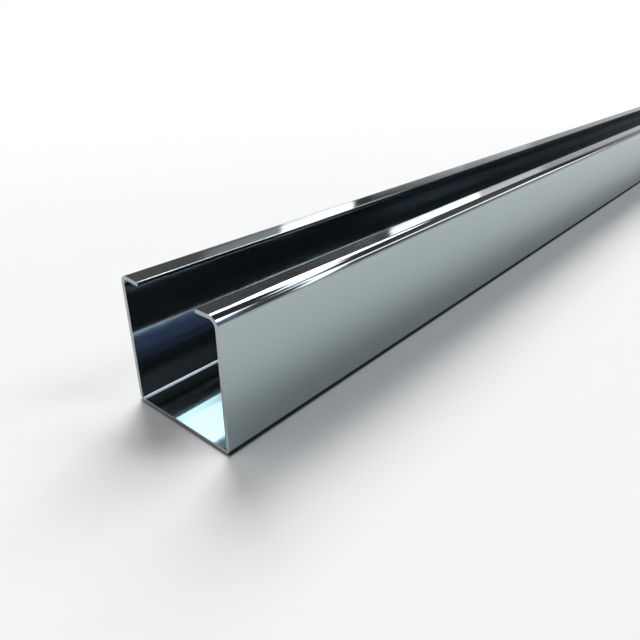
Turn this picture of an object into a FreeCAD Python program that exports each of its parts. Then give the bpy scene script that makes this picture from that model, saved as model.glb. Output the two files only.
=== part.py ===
import FreeCAD, Part
import math
import os
import Sketcher
from FreeCAD import Vector

# Lipped C stud, cold rolled from one strip of galvanised sheet steel and cut to length.
# It lies on its web with the open side up: X across the web, Y along the length, Z up the flanges.
# The origin is under the middle of the web, at mid length. Sizes are in millimetres and degrees.

# Sizes of the stud

SIZES = [
    ("stud_length", 2400.0, "length it is cut to and sold in"),
    ("web_width", 48.8, "across the outside of the web"),
    ("left_flange_height", 50.0, "outside of the web to the top of the left lip"),
    ("right_flange_height", 49.4, "outside of the web to the top of the right lip"),
    ("left_lip_reach", 9.6, "outside of the left flange to the edge of its lip"),
    ("right_lip_reach", 10.1, "outside of the right flange to the edge of its lip"),
    ("left_lip_dip", 4.0, "angle that the left lip is rolled past square"),
    ("right_lip_dip", 0.5, "angle that the right lip is rolled past square"),
    ("sheet_thickness", 1.5, "thickness of the strip"),
    ("web_bend_radius", 1.0, "inside radius of the bends between web and flanges"),
    ("left_lip_bend_radius", 1.4, "inside radius of the bend between the left flange and its lip"),
    ("right_lip_bend_radius", 2.6, "inside radius of the bend between the right flange and its lip"),
    ("slit_edge_round", 0.2, "rounding of the strip's slit edges, along the lips"),
    ("cut_edge_round", 0.15, "rounding that the shear leaves around each cut end"),
    ("round_limit", 0.45, "most that a rounding takes of the face beside it, as a share"),
]

doc = FreeCAD.newDocument("SteelStud")
sheet = doc.addObject("Spreadsheet::Sheet", "Sizes")
for row, (alias, value, meaning) in enumerate(SIZES, start=1):
    sheet.set(f"A{row}", alias)
    sheet.set(f"B{row}", str(value))
    sheet.set(f"C{row}", meaning)
    sheet.setAlias(f"B{row}", alias)
doc.recompute()


def worked_out(formula):
    """What a formula in the sheet's sizes comes to."""
    return float(sheet.evalExpression(formula))


# Section of the strip, drawn square to its length

stud = doc.addObject("PartDesign::Body", "Stud")
stud.Label = "stud"
stud.Placement = FreeCAD.Placement(Vector(0, 0, 0), FreeCAD.Rotation())

section = stud.newObject("Sketcher::SketchObject", "Section")
crosswise_plane = next(plane for plane in stud.Origin.OriginFeatures if plane.Role == "XZ_Plane")
section.AttachmentSupport = [(crosswise_plane, "")]
section.MapMode = "FlatFace"

# How the sketch numbers the points of a line or arc, and its own origin
START = 1
END = 2
CENTRE = 3
SECTION_ORIGIN = (-1, START)


def constrain(kind, *where):
    return section.addConstraint(Sketcher.Constraint(kind, *where))


def dimension(name, kind, where, formula, value=None):
    """Adds a dimension and ties it to the sheet."""
    index = constrain(kind, *where, worked_out(formula) if value is None else value)
    section.renameConstraint(index, name)
    section.setExpression(f"Constraints.{name}", formula)


def outward_from_middle(side, point):
    """The two points of a distance across the section, the left one first."""
    return (*point, *SECTION_ORIGIN) if side < 0 else (*SECTION_ORIGIN, *point)


# Four bends, from the left lip round to the right lip. Each has an outside and an inside arc about
# one centre. A bend at the web stands on the floor line; a lip's bend hangs from its flange's top.

LEFT = -1
RIGHT = 1
SKINS = ("outside", "inside")
left_dip = worked_out("Sizes.left_lip_dip")
right_dip = worked_out("Sizes.right_lip_dip")

# Name, side, top of the bend where it is a lip's, inside radius, angles that the arc runs between
BENDS = [
    ("left_lip_bend", LEFT, "Sizes.left_flange_height", "Sizes.left_lip_bend_radius", 90 - left_dip, 180),
    ("left_web_bend", LEFT, None, "Sizes.web_bend_radius", 180, 270),
    ("right_web_bend", RIGHT, None, "Sizes.web_bend_radius", 270, 360),
    ("right_lip_bend", RIGHT, "Sizes.right_flange_height", "Sizes.right_lip_bend_radius", 0, 90 + right_dip),
]

arcs = {skin: [] for skin in SKINS}
for name, side, top, inside_radius, start_angle, end_angle in BENDS:
    outside_radius = f"{inside_radius} + Sizes.sheet_thickness"
    across = f"Sizes.web_width / 2 - ({outside_radius})"
    height = f"{top} - ({outside_radius})" if top else outside_radius
    centre = Vector(side * worked_out(across), worked_out(height), 0)
    for skin, radius in zip(SKINS, (outside_radius, inside_radius)):
        circle = Part.Circle(centre, Vector(0, 0, 1), worked_out(radius))
        turn = Part.ArcOfCircle(circle, math.radians(start_angle), math.radians(end_angle))
        arcs[skin].append(section.addGeometry(turn))
        dimension(f"{name}_{skin}_radius", "Radius", (arcs[skin][-1],), radius)
    outer = (arcs["outside"][-1], CENTRE)
    constrain("Coincident", *outer, arcs["inside"][-1], CENTRE)
    dimension(f"{name}_across", "DistanceX", outward_from_middle(side, outer), across)
    dimension(f"{name}_height", "DistanceY", (*SECTION_ORIGIN, *outer), height)

# Left flange, web and right flange: both faces of each run straight from bend to bend

for skin in SKINS:
    for bend, next_bend in zip(arcs[skin], arcs[skin][1:]):
        ends = (section.getPoint(bend, END), section.getPoint(next_bend, START))
        face = section.addGeometry(Part.LineSegment(*ends))
        constrain("Tangent", bend, END, face, START)
        constrain("Tangent", face, END, next_bend, START)

# Lips: both faces leave the bend at the lip's angle, and the slit edge closes them squarely.
# Every lip line runs from left to right, so a lip has its edge at one end and its bend at the other.

# Name, side, place of its bend among the four, point of that arc, the lip line's ends at bend and edge
LIPS = [
    ("left_lip", LEFT, 0, START, START, END),
    ("right_lip", RIGHT, -1, END, END, START),
]

slit_edges = []
for name, side, bend, arc_end, at_bend, at_edge in LIPS:
    dip = math.radians(worked_out(f"Sizes.{name}_dip"))
    edge_across = f"Sizes.web_width / 2 - Sizes.{name}_reach"
    along = Vector(-side * math.cos(dip), -math.sin(dip), 0)
    through = Vector(side * math.sin(dip), -math.cos(dip), 0) * worked_out("Sizes.sheet_thickness")
    root = section.getPoint(arcs["outside"][bend], arc_end)
    corner = root + along * ((side * root.x - worked_out(edge_across)) / math.cos(dip))
    faces = []
    for skin, tip in zip(SKINS, (corner, corner + through)):
        ends = [section.getPoint(arcs[skin][bend], arc_end), tip][:: -side]
        faces.append(section.addGeometry(Part.LineSegment(*ends)))
        constrain("Tangent", arcs[skin][bend], arc_end, faces[-1], at_bend)
    outer, inner = faces
    slit_edge = section.addGeometry(Part.LineSegment(corner, corner + through))
    constrain("Coincident", outer, at_edge, slit_edge, START)
    constrain("Coincident", inner, at_edge, slit_edge, END)
    constrain("Parallel", outer, inner)
    constrain("Perpendicular", outer, slit_edge)
    tilt = f"{side} * Sizes.{name}_dip * 1 deg"
    dimension(f"{name}_tilt", "Angle", (outer,), tilt, side * dip)
    dimension(f"{name}_edge", "DistanceX", outward_from_middle(side, (outer, at_edge)), edge_across)
    slit_edges.append(slit_edge)

doc.recompute()

# The rolled length, the same each side of the middle

rolled = stud.newObject("PartDesign::Pad", "RolledLength")
rolled.Profile = section
rolled.SideType = "Symmetric"
rolled.setExpression("Length", "Sizes.stud_length")
doc.recompute()


def edge_names(shape, chosen):
    """The edges of a shape that a test picks, by the names that a rounding takes them by."""
    return [f"Edge{number}" for number, edge in enumerate(shape.Edges, start=1) if chosen(edge)]


# Slitting leaves the strip's long edges slightly rounded, on both faces of each lip

# How close two points are when they are the same one
COINCIDENT = 1e-4
slit_corners = [section.getPoint(edge, point) for edge in slit_edges for point in (START, END)]


def is_slit_corner(edge):
    """An edge of the rolled length is one when a corner of a lip's edge runs along it."""
    middle = edge.BoundBox.Center
    lengthwise = edge.BoundBox.YLength > COINCIDENT
    nearest = min(math.hypot(middle.x - corner.x, middle.z - corner.y) for corner in slit_corners)
    return lengthwise and nearest < COINCIDENT


slit_rounding = stud.newObject("PartDesign::Fillet", "SlitRounding")
slit_rounding.Base = (rolled, edge_names(rolled.Shape, is_slit_corner))
slit_radius = "min(Sizes.slit_edge_round; Sizes.round_limit * Sizes.sheet_thickness)"
slit_rounding.setExpression("Radius", slit_radius)
doc.recompute()

# The shear that cuts the stud to length rolls its corners over a little, right round each end

half_length = worked_out("Sizes.stud_length / 2")


def is_cut_corner(edge):
    box = edge.BoundBox
    return box.YLength < COINCIDENT and abs(abs(box.Center.y) - half_length) < COINCIDENT


cut_rounding = stud.newObject("PartDesign::Fillet", "CutRounding")
cut_rounding.Base = (slit_rounding, edge_names(slit_rounding.Shape, is_cut_corner))
cut_rounding.setExpression("Radius", f"min(Sizes.cut_edge_round; 2 * Sizes.round_limit * {slit_radius})")
doc.recompute()

# Every object has to be sound before the solid is written

for item in doc.Objects:
    if "Invalid" in item.State or "Error" in item.State:
        raise RuntimeError(f"{item.Name} did not build: {item.State}")
if stud.Shape.isNull() or not stud.Shape.isValid() or len(stud.Shape.Solids) != 1:
    raise RuntimeError("The stud is not one sound solid")

os.makedirs("parts", exist_ok=True)
stud.Shape.exportStep(f"parts/{stud.Label}.step")
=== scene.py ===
import math

import bpy
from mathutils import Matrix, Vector


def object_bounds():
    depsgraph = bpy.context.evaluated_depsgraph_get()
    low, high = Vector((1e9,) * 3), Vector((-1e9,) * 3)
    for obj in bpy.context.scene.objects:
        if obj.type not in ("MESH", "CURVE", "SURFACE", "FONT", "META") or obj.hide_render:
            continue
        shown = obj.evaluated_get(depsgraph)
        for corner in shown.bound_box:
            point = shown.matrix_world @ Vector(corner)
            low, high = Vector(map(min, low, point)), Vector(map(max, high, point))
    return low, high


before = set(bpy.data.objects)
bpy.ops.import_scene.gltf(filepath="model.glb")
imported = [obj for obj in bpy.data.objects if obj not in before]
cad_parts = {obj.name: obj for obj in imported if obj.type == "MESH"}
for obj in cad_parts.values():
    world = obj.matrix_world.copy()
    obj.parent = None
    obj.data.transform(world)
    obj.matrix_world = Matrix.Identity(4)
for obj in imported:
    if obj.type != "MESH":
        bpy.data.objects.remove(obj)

size_after_load = [list(corner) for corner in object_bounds()]

# The stud: one strip of hot-dip galvanised sheet steel, roll formed cold into a lipped C and sheared
# to length. Its shape is all in the part. The zinc stays mirror-like inside and over the bends, and
# the forming rolls leave faint lines along it.

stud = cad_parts["stud"]
half_width, half_length = size_after_load[1][:2]

zinc = bpy.data.materials.new("galvanised steel")
zinc.use_nodes = True

# The helpers below add their nodes to this tree, and later to the floor's and the world's in its place
tree = zinc.node_tree
shader = tree.nodes["Principled BSDF"]
shader.inputs["Metallic"].default_value = 0.985


def feed(socket, source):
    """Links an input to another node's output, or sets it to a plain value."""
    if isinstance(source, bpy.types.NodeSocket):
        socket.id_data.links.new(source, socket)
    else:
        socket.default_value = source


def calculate(operation, *terms):
    """What a Math node makes of its terms."""
    node = tree.nodes.new("ShaderNodeMath")
    node.operation = operation
    for socket, term in zip(node.inputs, terms):
        feed(socket, term)
    return node.outputs["Value"]


def graded(value, start, end, low=0.0, high=1.0, interpolation="LINEAR"):
    """Goes from low to high while a value goes from start to end, and stays level beyond them."""
    node = tree.nodes.new("ShaderNodeMapRange")
    node.interpolation_type = interpolation
    sources = {"Value": value, "From Min": start, "From Max": end, "To Min": low, "To Max": high}
    for name, source in sources.items():
        feed(node.inputs[name], source)
    return node.outputs["Result"]


def mixed(share, colour, other):
    """Goes from one colour to another while the share goes from 0 to 1."""
    node = tree.nodes.new("ShaderNodeMixRGB")
    for name, source in {"Fac": share, "Color1": colour, "Color2": other}.items():
        feed(node.inputs[name], source)
    return node.outputs["Color"]


# The rolls' lines lie a few millimetres apart and run on for half a metre or more
LINES_TO_THE_METRE = (420, 1.5, 420)
place = tree.nodes.new("ShaderNodeTexCoord").outputs["Object"]
along_rolls = tree.nodes.new("ShaderNodeMapping")
feed(along_rolls.inputs["Vector"], place)
feed(along_rolls.inputs["Scale"], LINES_TO_THE_METRE)
noise = tree.nodes.new("ShaderNodeTexNoise")
feed(noise.inputs["Vector"], along_rolls.outputs["Vector"])
feed(noise.inputs["Scale"], 1.0)
feed(noise.inputs["Detail"], 3.0)
roller_lines = noise.outputs["Fac"]

# The flanges' outsides are rubbed dull in the stack, and the sheared ends are bare steel. Each finish
# starts a little way in from the outermost face, on the curve beside it, and is full at the face.
RUB_STARTS = 0.0004
SHEAR_STARTS = 0.0001
FINISH_IS_FULL = 0.00005
place_parts = tree.nodes.new("ShaderNodeSeparateXYZ")
feed(place_parts.inputs["Vector"], place)
across = calculate("ABSOLUTE", place_parts.outputs["X"])
along = calculate("ABSOLUTE", place_parts.outputs["Y"])
outside = graded(across, half_width - RUB_STARTS, half_width - FINISH_IS_FULL)
sheared = graded(along, half_length - SHEAR_STARTS, half_length - FINISH_IS_FULL)

ROLLED_ROUGHNESS = (0.04, 0.09)
RUBBED_ROUGHNESS = 0.3
SHEARED_ROUGHNESS = 0.3
polish = graded(roller_lines, 0, 1, *ROLLED_ROUGHNESS)
rubbed = graded(outside, 0, 1, polish, RUBBED_ROUGHNESS)
feed(shader.inputs["Roughness"], graded(sheared, 0, 1, rubbed, SHEARED_ROUGHNESS))

ROLLED_DARK = (0.35, 0.39, 0.41, 1)
ROLLED_PALE = (0.425, 0.475, 0.50, 1)
RUBBED_ZINC = (0.385, 0.455, 0.46, 1)
BARE_STEEL = (0.38, 0.41, 0.42, 1)

# The noise keeps near its middle, so the whole change of colour lies there
NOISE_MIDDLE = (0.35, 0.65)
rolled = mixed(graded(roller_lines, *NOISE_MIDDLE), ROLLED_DARK, ROLLED_PALE)
feed(shader.inputs["Base Color"], mixed(sheared, mixed(outside, rolled, RUBBED_ZINC), BARE_STEEL))

WAVE_DEPTH = 0.00002
waviness = tree.nodes.new("ShaderNodeBump")
feed(waviness.inputs["Distance"], WAVE_DEPTH)
feed(waviness.inputs["Height"], roller_lines)
feed(shader.inputs["Normal"], waviness.outputs["Normal"])

stud.data.materials.clear()
stud.data.materials.append(zinc)

# The floor: a wide sheet of matt white paper that the stud lies on. Close under the stud's edges a
# contact shadow is painted into the paper's colour, dark as the gap where no light gets in. Further
# off, the camera sees it fade to plain white.

FLOOR_HALF = 30.0
floor_mesh = bpy.data.meshes.new("floor")
floor_corners = [(x * FLOOR_HALF, y * FLOOR_HALF, 0) for x, y in ((-1, -1), (1, -1), (1, 1), (-1, 1))]
floor_mesh.from_pydata(floor_corners, [], [(0, 1, 2, 3)])
floor = bpy.data.objects.new("floor", floor_mesh)
bpy.context.scene.collection.objects.link(floor)

paper = bpy.data.materials.new("white paper")
paper.use_nodes = True
tree = paper.node_tree
sheet_of_paper = tree.nodes["Principled BSDF"]
sheet_of_paper.inputs["Roughness"].default_value = 1.0
sheet_of_paper.inputs["Specular IOR Level"].default_value = 0.0

spot = tree.nodes.new("ShaderNodeTexCoord").outputs["Object"]
spot_parts = tree.nodes.new("ShaderNodeSeparateXYZ")
feed(spot_parts.inputs["Vector"], spot)
beside = calculate("ABSOLUTE", spot_parts.outputs["X"])
beyond = calculate("SUBTRACT", calculate("ABSOLUTE", spot_parts.outputs["Y"]), half_length)

# How far past the stud's edge the painted gap shadow gives way to the paper's own colour
GAP_ENDS = -0.0004
PAPER_STARTS = 0.0008
PAINTED_GAP_SHADOW = 0.05
PAPER_SHADE = 0.93
# Painted shadow: the paper's colour goes dark close under the stud's edges
past_edge = calculate("MAXIMUM", calculate("SUBTRACT", beside, half_width), beyond)
painted_shadow_and_paper = graded(past_edge, GAP_ENDS, PAPER_STARTS, PAINTED_GAP_SHADOW, PAPER_SHADE)
feed(sheet_of_paper.inputs["Base Color"], painted_shadow_and_paper)

# How far beside or beyond the stud the fade to plain white starts and is full
FADE_STARTS = 0.12
ALL_WHITE = 1.0
further_off = calculate("MAXIMUM", beside, beyond)
fade = graded(further_off, FADE_STARTS, ALL_WHITE, interpolation="SMOOTHSTEP")
seen_by_camera = tree.nodes.new("ShaderNodeLightPath").outputs["Is Camera Ray"]
blend = tree.nodes.new("ShaderNodeMixShader")
feed(blend.inputs["Fac"], calculate("MULTIPLY", fade, seen_by_camera))
feed(blend.inputs[1], sheet_of_paper.outputs["BSDF"])
feed(blend.inputs[2], tree.nodes.new("ShaderNodeEmission").outputs["Emission"])
feed(tree.nodes["Material Output"].inputs["Surface"], blend.outputs["Shader"])
floor.data.materials.append(paper)

# The lamps: flat soft boxes 8 m from the stud's near end, which they face. The key and the back
# lights stand to the left beyond the stud and throw its shadow to the right, and the rest fill in.

NEAR_END = Vector((0, -half_length, 0.03))
LAMP_DISTANCE = 8.0


def soft_box(name, azimuth, elevation, width, height, radiance, tint=(1, 1, 1)):
    """Hangs a flat lamp. Azimuth 0 is along the stud, 90 to its right. Its width and height are the
    angles that it spans as the near end sees it, in degrees."""
    lamp = bpy.data.lights.new(name, "AREA")
    lamp.shape = "RECTANGLE"
    lamp.size = 2 * LAMP_DISTANCE * math.tan(math.radians(width) / 2)
    lamp.size_y = 2 * LAMP_DISTANCE * math.tan(math.radians(height) / 2)
    lamp.energy = radiance * math.pi * lamp.size * lamp.size_y
    lamp.color = tint
    box = bpy.data.objects.new(name, lamp)
    bearing, rise = math.radians(azimuth), math.radians(elevation)
    away = Vector((math.sin(bearing) * math.cos(rise), math.cos(bearing) * math.cos(rise), math.sin(rise)))
    box.location = NEAR_END + away * LAMP_DISTANCE
    box.rotation_euler = away.to_track_quat("Z", "Y").to_euler()
    bpy.context.scene.collection.objects.link(box)


soft_box("key light", -52, 58, 18.5, 20, 9.5, (1.0, 0.99, 0.975))
soft_box("low key light", -54, 41.5, 14, 12, 8.0)
soft_box("back light", -30, 38.5, 23, 19, 8.3)
soft_box("right light", 50, 46, 18, 15, 3.6)
soft_box("front light", -160, 26, 34, 18, 2.8)
soft_box("left light", -122, 47, 24, 24, 1.6)

# The walls: pale up to the height of a table and dark above, so that the zinc mirrors a dark room.
# Small soft-edged panels hang on them, each for one streak or glint that the zinc shows. The camera
# itself sees plain white.

world = bpy.data.worlds.new("studio")
bpy.context.scene.world = world
world.use_nodes = True
tree = world.node_tree
direction = tree.nodes.new("ShaderNodeTexCoord").outputs["Generated"]
direction_parts = tree.nodes.new("ShaderNodeSeparateXYZ")
feed(direction_parts.inputs["Vector"], direction)
rightward, onward, upward = direction_parts.outputs

# Sine of the height above the floor line, and the walls' colour there
WALLS = [
    (0.0, (0.95, 0.95, 0.95, 1)),
    (0.04, (0.90, 0.90, 0.90, 1)),
    (0.15, (0.52, 0.52, 0.52, 1)),
    (0.23, (0.36, 0.36, 0.35, 1)),
    (0.27, (0.25, 0.25, 0.24, 1)),
    (0.303, (0.095, 0.095, 0.09, 1)),
    (0.315, (0.045, 0.045, 0.04, 1)),
    (0.345, (0.05, 0.05, 0.045, 1)),
    (0.42, (0.125, 0.12, 0.11, 1)),
    (0.50, (0.13, 0.125, 0.125, 1)),
    (0.62, (0.05, 0.05, 0.06, 1)),
    (1.0, (0.03, 0.03, 0.035, 1)),
]
ramp = tree.nodes.new("ShaderNodeValToRGB")
feed(ramp.inputs["Fac"], upward)
steps = ramp.color_ramp.elements
steps.remove(steps[1])
for number, (sine, colour) in enumerate(WALLS):
    step = steps.new(sine) if number else steps[0]
    step.position = sine
    step.color = colour
studio = ramp.outputs["Color"]

# Each panel's azimuth, elevation, width, height and soft edge in degrees, how many degrees it rises
# for each one to the right, its colour, and what mirrors it
PANELS = [
    (44, 48.5, 18, 9, 3.0, 0.0, (3.0, 3.0, 3.4, 1)),  # web, from above
    (52, 37.6, 12.5, 7.8, 1.4, 0.0, (5.3, 6.5, 6.7, 1)),  # web, at the near end
    (57, 26.1, 14, 1.4, 1.0, 0.28, (1.4, 1.7, 3.2, 1)),  # left flange, the blue streak inside
    (23, 25.6, 28, 7.5, 0.8, 0.62, (2.4, 2.4, 2.4, 1)),  # right lip's bend, lower line
    (36.5, 27, 18, 7, 0.8, -1.32, (2.8, 2.8, 2.8, 1)),  # right lip's bend, near the end
    (-2, 45.5, 46, 6, 0.8, 0.0, (2.8, 2.8, 2.8, 1)),  # right lip's bend, upper line
    (-46, 25.0, 9, 2.0, 1.0, -0.465, (0.5, 0.5, 0.5, 1)),  # left lip, grey near the end
    (-38.6, 21.9, 7.2, 1.8, 0.3, -0.465, (3.6, 3.6, 3.6, 1)),  # left lip, white glint
    (-22.5, 12.6, 6, 1.2, 0.5, -0.447, (1.1, 1.1, 1.1, 1)),  # right lip, grey far off
    (-29.1, 15.5, 8.4, 1.0, 0.3, -0.447, (3.4, 3.4, 3.4, 1)),  # right lip, white glint
]
bearing = calculate("DEGREES", calculate("ARCTAN2", rightward, onward))
rise = calculate("DEGREES", calculate("ARCSINE", upward))
for azimuth, elevation, width, tall, edge, slant, colour in PANELS:
    aside = calculate("SUBTRACT", bearing, azimuth)
    slope = calculate("MULTIPLY", aside, slant)
    above = calculate("SUBTRACT", calculate("SUBTRACT", rise, elevation), slope)
    shares = []
    for offset, span in ((aside, width), (above, tall)):
        reach = calculate("ABSOLUTE", offset)
        shares.append(graded(reach, span / 2 - edge, span / 2 + edge, 1.0, 0.0, "SMOOTHSTEP"))
    studio = mixed(calculate("MULTIPLY", *shares), studio, colour)

WHITE = (1, 1, 1, 1)
seen_by_camera = tree.nodes.new("ShaderNodeLightPath").outputs["Is Camera Ray"]
feed(tree.nodes["Background"].inputs["Color"], mixed(seen_by_camera, studio, WHITE))

# The camera: the photograph's viewpoint, low beside the near end and looking down along the stud.

VIEWPOINT = (0.1389, -1.2899, 0.1208)
LINE_OF_SIGHT = Vector((-0.5793, 0.6797, -0.4499))
camera = bpy.data.cameras.new("camera")
camera.lens = 32.0
camera.clip_start = 0.01
stand = bpy.data.objects.new("camera", camera)
stand.location = VIEWPOINT
stand.rotation_euler = LINE_OF_SIGHT.to_track_quat("-Z", "Y").to_euler()
bpy.context.scene.collection.objects.link(stand)
bpy.context.scene.camera = stand

bpy.context.scene.view_settings.view_transform = "Standard"
